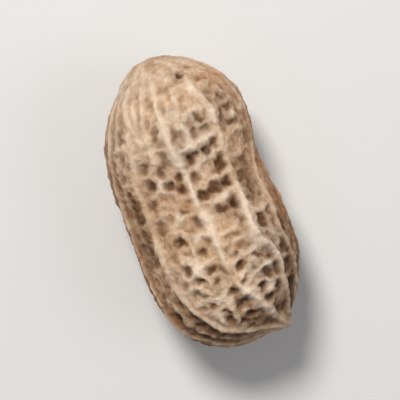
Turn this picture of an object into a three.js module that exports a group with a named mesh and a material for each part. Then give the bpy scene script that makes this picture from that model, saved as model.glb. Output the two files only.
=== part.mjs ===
// Peanut in its shell: one whole, dry, two-seeded pod lying on its side.
//
// The pod is a single closed solid. It lies along X: the stem end is at -X and
// the beak (the small pointed tip where the flower was) is at +X. +Z is up and
// the pod rests on two small flat spots, one under each lobe, at z = 0.
// The origin is on the ground under the middle of the pod.
//
// Millimetres. The body is a cube-sphere grid: every point of a unit sphere is
// carried onto the pod by four curves along its length (the two half-thicknesses
// and the two offsets of its centre line), and then pushed out along its normal
// by the ribs, the beak and the stem scar.

import * as THREE from "three";
import { mergeVertices } from "three/addons/utils/BufferGeometryUtils.js";

// ---------------------------------------------------------------- dimensions
const LENGTH = 33.2; // stem end to the round of the beak end

// Eleven stations, evenly spaced along the length.
// Half-width (Y) and half-height (Z) are multiplied by the circle of a round end,
// so the numbers at the two ends set how blunt the ends are.
const HALF_WIDTH = [8.9, 9.62, 9.62, 8.99, 8.42, 8.36, 8.76, 9.32, 10.0, 10.8, 11.6];
const HALF_HEIGHT = [8.2, 9.0, 9.1, 8.3, 7.1, 6.75, 7.3, 8.55, 9.6, 10.3, 11.0];
// The pod bends a little sideways and rises a little at the waist.
const CENTRE_Y = [-1.55, -0.66, -0.88, -1.14, -1.31, -0.88, -0.33, -0.15, -0.02, 0.02, -0.35];
const CENTRE_Z = [7.0, 7.15, 7.3, 7.4, 7.55, 7.65, 7.7, 7.68, 7.75, 8.0, 8.3];

// The ribs leave the stem scar and run together again at the beak. Both lie a
// little off the pod's axis; these are directions on the unit sphere.
const STEM_POLE = new THREE.Vector3(-0.985, -0.14, 0.02).normalize();
const BEAK_POLE = new THREE.Vector3(0.9, 0.4, 0.17).normalize();

// Ten main ribs. Each row is the rib's angle round the pod, in degrees from +Y
// over the top, at eleven even steps from the stem scar to the beak.
const RIBS = [
  { name: "right_suture", degrees: [10, 10, 10, 18, 18, 29, 31, 28, 18, 10, 8], height: 0.26, width: 0.75 },
  { name: "right_top", degrees: [58, 58, 61, 57, 54, 55, 57, 52, 48, 45, 42], height: 0.34, width: 0.62 },
  { name: "centre_top", degrees: [98, 98, 100, 100, 94, 92, 91, 94, 92, 91, 90], height: 0.38, width: 0.62 },
  { name: "left_top", degrees: [131, 131, 137, 132, 133, 135, 138, 139, 138, 137, 136], height: 0.34, width: 0.62 },
  { name: "left_suture", degrees: [158, 158, 163, 161, 162, 165, 166, 170, 168, 176, 178], height: 0.3, width: 0.75 },
  { name: "under_left_a", degrees: [192, 194, 197, 201, 199, 203, 200, 204, 201, 205, 208], height: 0.3, width: 0.62 },
  { name: "under_left_b", degrees: [226, 228, 234, 232, 238, 236, 233, 237, 240, 238, 240], height: 0.32, width: 0.62 },
  { name: "under_centre", degrees: [264, 266, 270, 267, 272, 270, 274, 271, 268, 270, 268], height: 0.34, width: 0.62 },
  { name: "under_right_a", degrees: [298, 300, 303, 307, 304, 309, 305, 302, 306, 304, 302], height: 0.32, width: 0.62 },
  { name: "under_right_b", degrees: [334, 336, 340, 338, 344, 341, 346, 342, 338, 336, 334], height: 0.3, width: 0.62 },
];

const BEAK_HEIGHT = 0.95; // how far the tip stands proud of the round end
const BEAK_RADIUS = 1.5; // how quickly it falls away round the tip
const SCAR_RADIUS = 1.35; // low ring where the stem broke off
const SCAR_RING = 0.22;
const SCAR_DIMPLE = 0.35;

const REST_PLANE = 0; // everything below this is flattened: the two rest spots

// Grid: cells along the pod's sides, and cells across each quarter of its girth.
const SEGMENTS_ALONG = 34;
const SEGMENTS_AROUND = 20;

// ------------------------------------------------------------------- helpers
// Catmull-Rom curve through evenly spaced values, for u from 0 to 1.
function along(table, u) {
  const last = table.length - 1;
  const s = Math.min(Math.max(u, 0), 1) * last;
  const i = Math.min(Math.floor(s), last - 1);
  const f = s - i;
  const p1 = table[i];
  const p2 = table[i + 1];
  const p0 = i > 0 ? table[i - 1] : 2 * p1 - p2;
  const p3 = i + 2 <= last ? table[i + 2] : 2 * p2 - p1;
  return 0.5 * (2 * p1 + (p2 - p0) * f + (2 * p0 - 5 * p1 + 4 * p2 - p3) * f * f + (3 * p1 - p0 - 3 * p2 + p3) * f * f * f);
}

function ease(from, to, x) {
  const u = Math.min(Math.max((x - from) / (to - from), 0), 1);
  return u * u * (3 - 2 * u);
}

// Unit sphere -> smooth pod.
function podPoint(p) {
  const u = (1 + p.x) / 2;
  return new THREE.Vector3(
    LENGTH * u,
    along(CENTRE_Y, u) + along(HALF_WIDTH, u) * p.y,
    along(CENTRE_Z, u) + along(HALF_HEIGHT, u) * p.z,
  );
}

// Unit sphere -> place in the rib pattern: t runs from the stem scar (0) to the
// beak (1), angle runs round the pod. The pattern's axis swings from the one
// pole to the other along the way.
const stemTurn = new THREE.Quaternion().setFromUnitVectors(new THREE.Vector3(-1, 0, 0), STEM_POLE);
const beakTurn = new THREE.Quaternion().setFromUnitVectors(new THREE.Vector3(1, 0, 0), BEAK_POLE);
const noTurn = new THREE.Quaternion();

function patternPlace(p) {
  let t = Math.acos(Math.min(Math.max(-p.x, -1), 1)) / Math.PI;
  const q = new THREE.Vector3();
  for (let i = 0; i < 12; i++) {
    const beak = noTurn.clone().slerp(beakTurn, ease(0.4, 1, t)).invert();
    const stem = noTurn.clone().slerp(stemTurn, 1 - ease(0, 0.55, t)).invert();
    q.copy(p).applyQuaternion(beak).applyQuaternion(stem);
    t = 0.5 * t + (0.5 * Math.acos(Math.min(Math.max(-q.x, -1), 1))) / Math.PI;
  }
  return { t, angle: Math.atan2(q.z, q.y) };
}

// How far the ribs raise the surface at a point of the sphere. near is the
// radius of the pod there, which turns an angle into a distance.
function ribHeight(place, near) {
  const fade = ease(0.03, 0.2, place.t);
  let raised = 0;
  for (const rib of RIBS) {
    const centre = (along(rib.degrees, place.t) * Math.PI) / 180;
    let off = place.angle - centre;
    off -= 2 * Math.PI * Math.round(off / (2 * Math.PI));
    const d = (Math.abs(off) * near) / rib.width;
    raised = Math.max(raised, rib.height * Math.exp(-d * d));
  }
  return raised * fade;
}

// ---------------------------------------------------------------------- body
function peanutGeometry() {
  const grid = new THREE.BoxGeometry(2, 2, 2, SEGMENTS_ALONG, SEGMENTS_AROUND, SEGMENTS_AROUND);
  grid.deleteAttribute("normal");
  grid.deleteAttribute("uv");
  grid.clearGroups();
  const body = mergeVertices(grid, 1e-5);

  const at = body.getAttribute("position");
  const sphere = [];
  const point = new THREE.Vector3();
  for (let i = 0; i < at.count; i++) {
    point.fromBufferAttribute(at, i);
    const p = new THREE.Vector3(
      Math.tan((point.x * Math.PI) / 4),
      Math.tan((point.y * Math.PI) / 4),
      Math.tan((point.z * Math.PI) / 4),
    ).normalize();
    sphere.push(p);
    const s = podPoint(p);
    at.setXYZ(i, s.x, s.y, s.z);
  }
  body.computeVertexNormals();

  const beakTip = podPoint(BEAK_POLE);
  const scar = podPoint(STEM_POLE);
  const normals = body.getAttribute("normal");
  const normal = new THREE.Vector3();
  const beakOut = new THREE.Vector3(0.72, 0.66, 0.2).normalize();
  for (let i = 0; i < at.count; i++) {
    point.fromBufferAttribute(at, i);
    normal.fromBufferAttribute(normals, i);
    const place = patternPlace(sphere[i]);
    const u = (1 + sphere[i].x) / 2;
    const near = Math.hypot(point.y - along(CENTRE_Y, u), point.z - along(CENTRE_Z, u));
    let out = ribHeight(place, Math.max(near, 1.5));

    const toScar = point.distanceTo(scar);
    out += SCAR_RING * Math.exp(-(((toScar - SCAR_RADIUS) / 0.5) ** 2));
    out -= SCAR_DIMPLE * Math.exp(-((toScar / 0.9) ** 2));

    const toBeak = point.distanceTo(beakTip) / BEAK_RADIUS;
    point.addScaledVector(normal, out);
    point.addScaledVector(beakOut, BEAK_HEIGHT * Math.exp(-toBeak * toBeak));
    at.setXYZ(i, point.x, point.y, Math.max(point.z, REST_PLANE));
  }

  // Put the origin on the ground under the middle of the finished pod.
  body.computeBoundingBox();
  const box = body.boundingBox;
  body.translate(-(box.min.x + box.max.x) / 2, -(box.min.y + box.max.y) / 2, -box.min.z);
  body.computeVertexNormals();
  return body;
}

const shell = new THREE.MeshStandardMaterial({ color: 0xc9a97f, roughness: 0.85, metalness: 0 });

const pod = new THREE.Mesh(peanutGeometry(), shell);
pod.name = "peanut_pod";

const peanut = new THREE.Group();
peanut.name = "peanut";
peanut.add(pod);

export default peanut;
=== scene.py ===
import math

import bpy
import numpy as np
from mathutils import Matrix, Vector
from mathutils.kdtree import KDTree


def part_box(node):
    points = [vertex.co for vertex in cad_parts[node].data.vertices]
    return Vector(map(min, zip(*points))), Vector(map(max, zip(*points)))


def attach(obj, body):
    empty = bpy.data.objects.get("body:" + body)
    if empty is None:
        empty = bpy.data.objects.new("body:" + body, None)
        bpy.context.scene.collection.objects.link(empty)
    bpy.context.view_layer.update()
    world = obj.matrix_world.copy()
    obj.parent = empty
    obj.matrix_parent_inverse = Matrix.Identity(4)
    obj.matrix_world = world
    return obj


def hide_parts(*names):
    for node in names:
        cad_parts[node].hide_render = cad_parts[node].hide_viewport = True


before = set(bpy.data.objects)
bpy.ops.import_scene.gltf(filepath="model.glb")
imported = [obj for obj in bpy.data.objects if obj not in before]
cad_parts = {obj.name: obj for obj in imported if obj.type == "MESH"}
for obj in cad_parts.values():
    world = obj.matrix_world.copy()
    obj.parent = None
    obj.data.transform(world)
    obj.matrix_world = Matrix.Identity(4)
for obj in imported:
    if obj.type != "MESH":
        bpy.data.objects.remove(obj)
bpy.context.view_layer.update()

# One whole peanut in its shell, lying on its side. The CAD node is a plain
# two-lobed solid; the piece made here stands for it, with the same body and the
# shell's real relief: main ribs, the net of veins, the pits between them, the
# beak and the stem scar. Everything below is in millimetres until it is placed.

# ------------------------------------------------------------------ the body
LENGTH = 33.2
HALF_WIDTH = np.array([8.9, 9.62, 9.62, 8.99, 8.42, 8.36, 8.76, 9.32, 10.0, 10.8, 11.6])
HALF_HEIGHT = np.array([8.2, 9.0, 9.1, 8.3, 7.1, 6.75, 7.3, 8.55, 9.6, 10.3, 11.0])
CENTRE_Y = np.array([-1.55, -0.66, -0.88, -1.14, -1.31, -0.88, -0.33, -0.15, -0.02, 0.02, -0.35])
CENTRE_Z = np.array([7.0, 7.15, 7.3, 7.4, 7.55, 7.65, 7.7, 7.68, 7.75, 8.0, 8.3])

STEM_POLE = np.array([-0.985, -0.14, 0.02])
STEM_POLE /= np.linalg.norm(STEM_POLE)
BEAK_POLE = np.array([0.9, 0.4, 0.17])
BEAK_POLE /= np.linalg.norm(BEAK_POLE)
BEAK_OUT = np.array([0.72, 0.66, 0.2])
BEAK_OUT /= np.linalg.norm(BEAK_OUT)

ALONG = 172  # grid cells along the sides
AROUND = 104  # grid cells across each quarter of the girth

# Main ribs: angle round the pod in degrees, from +Y over the top, at even steps
# from the stem scar to the beak; then height and half-width.
RIBS = [
    ("right_suture", [10, 10, 10, 10, 10, 16.5, 18, 16, 18.5, 23.5, 29, 28.5, 31, 32, 28, 23, 18.5, 14, 10, 9, 8], 0.20, 0.38),
    ("right_top", [57.5, 57.5, 57.5, 57.5, 61, 62.5, 57, 55.5, 54.5, 53, 55.5, 57.5, 60.5, 59.5, 51.5, 48, 48.5, 48.5, 45, 42, 41], 0.28, 0.34),
    ("centre_top", [97.5, 97.5, 97.5, 97.5, 99.5, 102, 100, 97.5, 94, 91, 91.8, 91, 91.5, 92.3, 94.3, 94.7, 92, 91.5, 91, 90, 90], 0.30, 0.32),
    ("left_top", [131.5, 131.5, 131.5, 133.5, 137.5, 134, 132, 132.5, 133, 134, 134.5, 137, 138, 139, 139.5, 138, 138.5, 137.5, 136.5, 136.5, 136.5], 0.27, 0.34),
    ("left_suture", [158, 158, 158, 158, 163.5, 163, 160.5, 161.5, 162, 163.5, 165, 167, 166.5, 167, 171.5, 171, 166, 174.5, 178, 178, 178], 0.24, 0.38),
    ("under_left_a", [192, 194, 197, 201, 199, 203, 200, 204, 201, 205, 208], 0.24, 0.36),
    ("under_left_b", [226, 228, 234, 232, 238, 236, 233, 237, 240, 238, 240], 0.27, 0.34),
    ("under_centre", [264, 266, 270, 267, 272, 270, 274, 271, 268, 270, 268], 0.28, 0.34),
    ("under_right_a", [298, 300, 303, 307, 304, 309, 305, 302, 306, 304, 302], 0.27, 0.34),
    ("under_right_b", [334, 336, 340, 338, 344, 341, 346, 342, 338, 336, 334], 0.24, 0.36),
]

# Short thin ribs that fade out, with their first and last step (0 to 1).
SHORT_RIBS = [
    ([102, 102, 102.5, 109, 115, 115.5, 115.3, 114, 113.5, 113.5, 113.5, 115, 116, 114, 113, 114, 115, 115, 114, 113, 113], 0.06, 0.40, 0.20, 0.34),
    ([115, 115, 115, 126, 126, 125.5, 124.7, 124, 124, 124, 124, 124, 124, 124, 124, 124, 124, 124, 124, 124, 124], 0.06, 0.33, 0.18, 0.32),
    ([80, 80, 80, 80, 82, 83, 82, 80, 79, 79, 79, 79, 79, 79, 79, 79, 79, 79, 79, 79, 79], 0.14, 0.42, 0.16, 0.34),
    ([146, 146, 147, 148, 150, 149, 148, 148, 149, 150, 151, 152, 152, 153, 154, 155, 154, 155, 156, 157, 157], 0.05, 0.97, 0.20, 0.34),
    ([35, 35, 35, 35, 36, 38, 38, 36, 37, 40, 42, 43, 45, 45, 40, 36, 33, 31, 28, 26, 26], 0.05, 0.42, 0.14, 0.32),
    ([180, 180, 181, 182, 183, 182, 181, 182, 183, 184, 183, 184, 185, 186, 188, 188, 187, 190, 192, 192, 192], 0.05, 0.97, 0.16, 0.34),
    ([210, 212, 215, 217, 216, 219, 218, 220, 219, 222, 224], 0.08, 0.80, 0.15, 0.32),
    ([246, 247, 252, 250, 255, 252, 254, 254, 253, 254, 254], 0.06, 0.55, 0.16, 0.32),
    ([281, 283, 286, 288, 287, 290, 289, 287, 288, 287, 286], 0.30, 0.95, 0.16, 0.32),
    ([316, 318, 321, 323, 325, 324, 326, 322, 321, 320, 318], 0.08, 0.62, 0.15, 0.32),
    ([354, 355, 356, 357, 359, 360, 362, 358, 355, 353, 352], 0.10, 0.90, 0.15, 0.32),
]

# Pits of the upper side: (across, along, half-width, half-length, turn, depth,
# dark), in steps of 0.58 mm from the pod's axis and its stem end.
STEP = 0.58
PITS = [
    (-1.5, 6.3, 2.0, 0.9, 0, 0.10, 0.25), (1.6, 8.7, 1.8, 1.6, 0, 0.05, 0.02), (-3.6, 9.8, 0.7, 1.1, 0, 0.12, 0.25),
    (8.0, 9.9, 0.8, 0.9, 0, 0.20, 0.52), (7.4, 13.3, 0.7, 1.0, 0, 0.22, 0.56), (10.3, 13.6, 0.6, 1.0, 0, 0.14, 0.36), (8.9, 11.9, 1.2, 0.75, 0, 0.24, 0.66),
    (8.7, 15.0, 1.3, 0.7, 10, 0.22, 0.52), (3.0, 12.9, 1.9, 0.8, -28, 0.17, 0.40), (1.2, 14.9, 0.9, 0.9, 0, 0.17, 0.40),
    (3.6, 14.8, 1.3, 0.8, -10, 0.15, 0.34),
    (-2.2, 14.4, 0.7, 1.5, 0, 0.18, 0.40), (-12.7, 12.4, 0.7, 1.3, 0, 0.18, 0.40), (-13.8, 16.6, 1.0, 1.3, 0, 0.20, 0.42),
    (-8.2, 15.7, 1.4, 0.8, 0, 0.08, 0.14), (-6.0, 13.6, 0.6, 1.8, 0, 0.18, 0.28), (-9.5, 19.2, 1.0, 1.0, 0, 0.22, 0.42),
    (-5.7, 18.6, 1.0, 1.1, 0, 0.24, 0.48), (-1.2, 19.8, 0.9, 1.1, 0, 0.30, 0.70), (0.6, 19.1, 1.0, 0.8, 0, 0.30, 0.76),
    (2.4, 18.7, 1.0, 0.8, 0, 0.30, 0.78), (4.0, 17.9, 0.9, 0.9, 0, 0.28, 0.70), (4.5, 22.3, 1.3, 1.2, 0, 0.44, 0.95),
    (1.9, 21.4, 1.4, 1.1, 0, 0.07, 0.00), (-0.6, 23.6, 0.9, 1.2, 0, 0.26, 0.42), (-3.9, 22.6, 0.8, 0.8, 0, 0.36, 0.85),
    (-7.0, 20.9, 0.8, 1.0, 0, 0.24, 0.38), (-5.8, 23.7, 0.8, 0.9, 0, 0.32, 0.62), (-4.2, 25.0, 0.7, 0.9, 0, 0.32, 0.66),
    (-9.6, 23.0, 1.1, 1.0, 25, 0.32, 0.62), (-13.9, 24.2, 1.1, 1.2, 0, 0.16, 0.70), (-14.2, 20.0, 0.9, 1.4, 0, 0.20, 0.34),
    (4.8, 25.9, 1.1, 0.7, -10, 0.40, 0.85), (2.2, 26.1, 1.2, 0.7, -8, 0.34, 0.62), (-0.1, 27.4, 0.9, 1.0, 0, 0.36, 0.72),
    (3.4, 28.3, 1.4, 0.7, 0, 0.06, 0.00), (5.0, 29.5, 1.0, 1.3, 0, 0.42, 1.00), (2.6, 30.7, 1.4, 0.8, -12, 0.32, 0.66),
    (7.9, 25.9, 0.8, 1.8, 0, 0.14, 0.42), (8.8, 28.2, 0.9, 1.1, 0, 0.14, 0.42), (9.2, 30.9, 0.9, 1.1, 0, 0.10, 0.26),
    (-4.6, 29.5, 0.8, 0.9, 0, 0.28, 0.56), (-7.8, 29.8, 1.2, 0.8, 0, 0.18, 0.32), (-9.5, 31.6, 0.8, 1.9, 0, 0.26, 0.50),
    (-10.0, 26.8, 0.9, 1.3, 0, 0.20, 0.34), (-7.0, 26.8, 1.8, 1.5, 0, 0.05, 0.00), (-2.9, 31.7, 0.9, 1.0, 0, 0.26, 0.45),
    (-5.2, 32.4, 1.2, 1.2, 0, 0.12, 0.12), (9.3, 34.3, 0.8, 1.6, 0, 0.32, 0.66), (-7.4, 34.7, 1.1, 0.9, 0, 0.34, 0.72),
    (-2.0, 35.6, 0.8, 1.2, 0, 0.24, 0.38), (-3.8, 37.3, 1.0, 0.8, 0, 0.30, 0.55), (2.4, 33.1, 2.0, 1.5, 0, 0.06, 0.00),
    (5.0, 33.8, 0.7, 1.6, 0, 0.24, 0.42), (3.2, 36.0, 1.6, 0.6, 0, 0.20, 0.34), (-13.9, 27.4, 0.9, 1.3, 0, 0.10, 0.34),
    (-13.0, 29.4, 0.8, 1.4, 0, 0.10, 0.34), (-13.0, 35.8, 0.9, 1.7, 0, 0.14, 0.42), (12.9, 36.8, 1.2, 1.5, 0, 0.44, 1.10),
    (-6.4, 37.2, 1.0, 0.9, 0, 0.18, 0.30), (-8.9, 37.4, 0.9, 1.2, 0, 0.18, 0.26), (-7.1, 40.3, 1.1, 0.9, 20, 0.28, 0.52),
    (2.8, 39.8, 1.1, 0.7, -15, 0.26, 0.45), (1.4, 37.9, 0.7, 1.0, 0, 0.18, 0.26), (5.0, 38.4, 1.1, 0.7, 0, 0.18, 0.30),
    (-2.5, 41.3, 1.1, 0.7, 0, 0.30, 0.60), (6.6, 40.6, 1.2, 0.6, -18, 0.24, 0.42), (3.3, 42.0, 1.1, 0.6, -18, 0.24, 0.42),
    (5.3, 42.6, 0.9, 0.7, -10, 0.26, 0.50), (8.8, 41.5, 0.8, 0.9, 0, 0.26, 0.40), (-5.1, 43.0, 1.0, 0.8, 0, 0.24, 0.42),
    (-8.3, 42.8, 0.8, 1.0, 0, 0.18, 0.30), (-2.1, 43.8, 0.8, 0.7, 0, 0.34, 0.66), (7.4, 44.6, 1.1, 0.8, 0, 0.38, 0.80),
    (3.0, 45.0, 1.0, 0.7, 0, 0.20, 0.36), (5.2, 44.9, 0.9, 0.6, 0, 0.20, 0.36), (-6.6, 45.1, 1.0, 0.7, 0, 0.26, 0.46),
    (-4.6, 46.2, 0.9, 0.6, 0, 0.22, 0.38), (0.3, 46.4, 1.0, 0.8, 20, 0.32, 0.62), (-11.4, 43.0, 0.5, 1.8, 0, 0.20, 0.34),
    (5.9, 46.8, 0.7, 0.8, 0, 0.32, 0.66), (9.0, 47.6, 0.7, 0.9, 0, 0.32, 0.68), (6.9, 48.9, 0.9, 0.7, 0, 0.32, 0.68),
    (11.4, 47.6, 1.3, 1.6, 0, 0.48, 1.10), (12.1, 43.8, 0.7, 1.2, 0, 0.30, 0.62), (12.0, 40.2, 0.6, 1.2, 0, 0.22, 0.32),
    (2.0, 48.8, 1.1, 0.9, 20, 0.40, 0.90), (-4.1, 48.4, 1.0, 0.8, 0, 0.28, 0.52), (-1.2, 49.8, 0.8, 0.6, 0, 0.30, 0.62),
    (-1.5, 51.4, 0.7, 0.8, 0, 0.30, 0.60), (7.8, 51.4, 0.7, 1.0, 0, 0.34, 0.75), (3.0, 51.0, 1.1, 0.6, 0, 0.34, 0.74),
    (1.0, 52.4, 1.0, 0.6, 0, 0.34, 0.74), (3.4, 52.6, 0.9, 0.5, 0, 0.30, 0.70), (5.6, 53.5, 1.2, 1.1, 0, 0.46, 1.10),
    (-11.0, 48.9, 1.0, 1.4, 0, 0.44, 0.90), (-9.9, 46.4, 0.6, 1.0, 0, 0.24, 0.45), (-7.2, 50.8, 0.8, 0.9, 0, 0.28, 0.62),
    (-8.4, 52.2, 0.7, 0.6, 0, 0.28, 0.62), (-3.2, 53.9, 1.2, 0.5, 10, 0.26, 0.60), (11.2, 50.6, 0.6, 0.8, 0, 0.30, 0.80),
    (11.2, 33.4, 0.8, 1.1, 0, 0.20, 0.34), (13.3, 33.0, 0.7, 1.2, 0, 0.18, 0.30), (8.9, 18.0, 1.2, 0.7, -35, 0.14, 0.30),
    (7.9, 19.8, 0.8, 1.2, 0, 0.08, 0.16), (9.4, 22.6, 0.9, 1.7, 0, 0.08, 0.22), (-7.6, 44.6, 0.5, 0.6, 0, 0.16, 0.25),
]
# Bright knobs where veins meet: (across, along, height, radius)
KNOBS = [(-1.1, 31.7, 0.40, 0.72), (-5.0, 40.9, 0.32, 0.70), (-1.9, 10.8, 0.18, 0.75), (7.7, 47.3, 0.28, 0.55),
         (10.7, 37.5, 0.26, 0.60), (-1.6, 47.6, 0.22, 0.95), (-3.1, 34.5, 0.26, 0.62), (3.1, 7.5, 0.16, 0.60),
         (2.9, 16.6, 0.14, 0.6), (9.2, 13.7, 0.20, 0.5), (-3.4, 18.5, 0.16, 0.80), (-7.5, 23.3, 0.24, 0.60),
         (-3.3, 51.0, 0.22, 0.70), (0.2, 21.7, 0.16, 0.50), (-5.6, 30.4, 0.18, 0.65), (3.8, 28.3, 0.16, 0.60),
         (5.9, 11.9, 0.16, 0.65), (10.9, 12.6, 0.18, 0.60), (-6.6, 6.4, 0.12, 0.60), (-9.5, 9.3, 0.12, 0.70),
         (-0.5, 17.6, 0.18, 0.50), (8.0, 42.8, 0.26, 0.50), (2.9, 46.5, 0.18, 0.60), (-0.6, 33.9, 0.18, 0.60)]

# Cross veins of the upper side: height, half-width in mm, then (across, along) in
# the same steps as the pits. They rise out of the shell and sink back at their ends.
VEINS = [
    (0.24, 0.44, [(-1.0, 6.9), (0.4, 6.6), (2.0, 6.7), (3.1, 7.3), (3.8, 8.6), (4.5, 10.0), (5.8, 11.8)]),
    (0.24, 0.46, [(-1.9, 10.8), (-0.7, 12.3), (0.6, 12.0), (2.0, 11.4), (3.4, 10.9), (4.7, 11.0), (5.8, 11.8)]),
    (0.22, 0.42, [(-0.7, 12.3), (-0.9, 13.6), (-0.5, 15.0), (-0.2, 16.4), (-0.5, 17.6)]),
    (0.15, 0.40, [(1.9, 13.9), (3.2, 13.9), (4.6, 13.4), (5.6, 13.6)]),
    (0.22, 0.40, [(-3.3, 17.2), (-1.6, 17.9), (-0.3, 17.6), (1.0, 17.0), (2.4, 16.4), (4.3, 16.1), (6.2, 16.6)]),
    (0.20, 0.36, [(-2.6, 22.6), (-1.2, 22.2), (0.1, 21.6), (0.8, 20.7), (2.6, 20.4), (4.6, 19.6), (6.2, 19.8)]),
    (0.18, 0.32, [(0.1, 21.6), (0.6, 22.9), (0.9, 24.3), (0.6, 25.3)]),
    (0.20, 0.36, [(-2.2, 25.9), (-0.6, 25.7), (0.9, 24.8), (3.1, 24.3), (4.7, 24.2), (6.5, 23.8)]),
    (0.20, 0.36, [(-2.0, 29.3), (-0.2, 28.8), (1.4, 28.8), (2.4, 28.3), (3.8, 28.2), (5.2, 27.7), (6.8, 27.4)]),
    (0.18, 0.34, [(-1.2, 30.2), (0.4, 30.2), (1.4, 29.4), (3.4, 29.6)]),
    (0.20, 0.36, [(0.0, 34.9), (1.8, 35.0), (3.4, 34.9), (4.5, 34.1)]),
    (0.22, 0.38, [(0.1, 37.3), (1.9, 37.1), (3.8, 37.1), (5.6, 36.6), (7.3, 37.4)]),
    (0.30, 0.40, [(1.2, 42.3), (2.3, 41.0), (3.8, 40.1), (5.2, 39.4), (7.3, 39.1), (9.4, 39.4)]),
    (0.26, 0.36, [(1.4, 44.8), (3.0, 43.6), (4.4, 42.6), (5.4, 41.6), (6.6, 41.6)]),
    (0.28, 0.36, [(2.6, 46.4), (4.6, 44.6), (6.4, 43.4), (8.0, 42.8), (9.2, 42.4)]),
    (0.22, 0.34, [(4.8, 44.4), (5.0, 45.8), (4.4, 47.2)]),
    (0.24, 0.34, [(4.6, 45.8), (6.2, 45.7), (7.6, 46.1), (8.9, 46.0), (10.0, 45.4)]),
    (0.24, 0.36, [(4.4, 48.9), (6.4, 48.3), (7.7, 47.4)]),
    (0.24, 0.34, [(5.2, 49.9), (7.2, 49.9), (8.4, 49.3), (9.7, 49.6)]),
    (0.20, 0.32, [(6.4, 50.9), (7.2, 52.2), (8.3, 52.9)]),
    (0.22, 0.34, [(10.0, 46.6), (11.6, 46.0), (13.0, 45.6)]),
    (0.20, 0.34, [(10.2, 42.4), (11.4, 41.8), (12.8, 41.9)]),
    (0.20, 0.34, [(10.6, 38.8), (11.9, 38.2), (13.3, 38.6)]),
    (0.22, 0.38, [(8.0, 35.6), (9.2, 36.7), (10.7, 37.5), (11.4, 39.0), (10.8, 40.8)]),
    (0.20, 0.36, [(7.6, 31.6), (9.4, 32.4), (10.9, 31.6), (12.6, 31.3)]),
    (0.10, 0.42, [(10.9, 31.6), (11.0, 29.8), (11.0, 28.2), (10.4, 26.4), (9.9, 24.4)]),
    (0.13, 0.34, [(-3.5, 43.2), (-3.3, 44.7), (-1.9, 45.0), (-0.6, 44.2), (-0.8, 42.7), (-2.2, 42.4)]),
    (0.22, 0.36, [(-5.0, 40.9), (-4.0, 42.4), (-3.5, 43.4)]),
    (0.22, 0.36, [(-8.6, 39.2), (-6.8, 38.6), (-5.6, 39.4), (-5.0, 40.9), (-6.3, 42.0), (-8.0, 41.4)]),
    (0.20, 0.36, [(-5.0, 40.9), (-3.8, 39.9), (-2.2, 39.4), (-0.6, 39.3)]),
    (0.18, 0.34, [(-4.8, 39.9), (-4.9, 38.2), (-5.2, 36.4), (-4.2, 35.3), (-3.1, 34.5)]),
    (0.20, 0.36, [(-3.1, 34.5), (-1.8, 34.4), (-0.6, 33.9)]),
    (0.18, 0.34, [(-3.1, 34.5), (-4.4, 34.0), (-5.9, 33.6), (-6.9, 32.4), (-7.7, 32.4), (-8.2, 30.8)]),
    (0.20, 0.36, [(-2.2, 29.6), (-3.6, 30.2), (-5.6, 30.4), (-7.2, 31.2), (-8.2, 30.8), (-9.0, 29.4), (-10.8, 29.1)]),
    (0.16, 0.34, [(-5.6, 30.4), (-6.0, 28.9), (-5.9, 27.6)]),
    (0.20, 0.36, [(-11.4, 25.4), (-9.8, 24.9), (-8.6, 24.4), (-7.5, 23.3), (-6.2, 22.2), (-5.0, 21.7), (-3.0, 21.2)]),
    (0.18, 0.34, [(-7.5, 23.3), (-7.2, 24.6), (-5.8, 25.2), (-4.9, 26.4), (-3.2, 26.9), (-2.2, 26.4)]),
    (0.18, 0.34, [(-11.5, 21.2), (-9.6, 20.9), (-8.4, 20.9), (-8.2, 22.3), (-7.5, 23.3)]),
    (0.18, 0.34, [(-8.4, 20.9), (-7.8, 18.9), (-7.6, 17.3), (-5.6, 16.7), (-3.8, 16.4)]),
    (0.16, 0.34, [(-11.3, 17.1), (-9.3, 16.9), (-7.6, 17.3)]),
    (0.14, 0.36, [(-10.2, 14.4), (-8.8, 14.3), (-7.4, 14.9), (-6.8, 16.0)]),
    (0.20, 0.36, [(-9.6, 43.6), (-8.0, 44.2), (-6.4, 43.7), (-5.6, 44.4), (-3.9, 45.6), (-2.2, 45.1)]),
    (0.22, 0.36, [(-8.2, 46.6), (-6.8, 47.4), (-5.6, 46.8), (-3.9, 46.9), (-2.6, 46.9), (-0.9, 45.5)]),
    (0.20, 0.36, [(-5.9, 49.2), (-4.7, 49.9), (-3.3, 49.6), (-2.6, 48.6)]),
    (0.22, 0.34, [(-3.3, 49.6), (-2.4, 51.2), (-2.2, 52.8)]),
    (0.22, 0.34, [(-0.2, 48.4), (-0.3, 50.0), (-0.1, 51.6), (0.6, 53.6)]),
    (0.20, 0.32, [(0.8, 50.4), (2.4, 49.9), (3.8, 49.9)]),
    (0.16, 0.34, [(-14.8, 15.0), (-13.2, 14.6), (-11.6, 14.9)]),
    (0.12, 0.40, [(-15.4, 22.6), (-14.0, 21.6), (-12.4, 21.9)]),
    (0.10, 0.42, [(-15.2, 31.4), (-14.0, 30.6), (-12.2, 29.9)]),
    (0.18, 0.36, [(7.4, 17.6), (8.9, 16.7), (10.2, 16.7), (11.4, 16.0)]),
    (0.16, 0.36, [(6.4, 21.0), (8.0, 21.3), (9.6, 20.3), (11.4, 20.8)]),
    (0.10, 0.32, [(7.0, 11.4), (8.5, 10.9), (10.0, 10.5)]),
]
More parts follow.
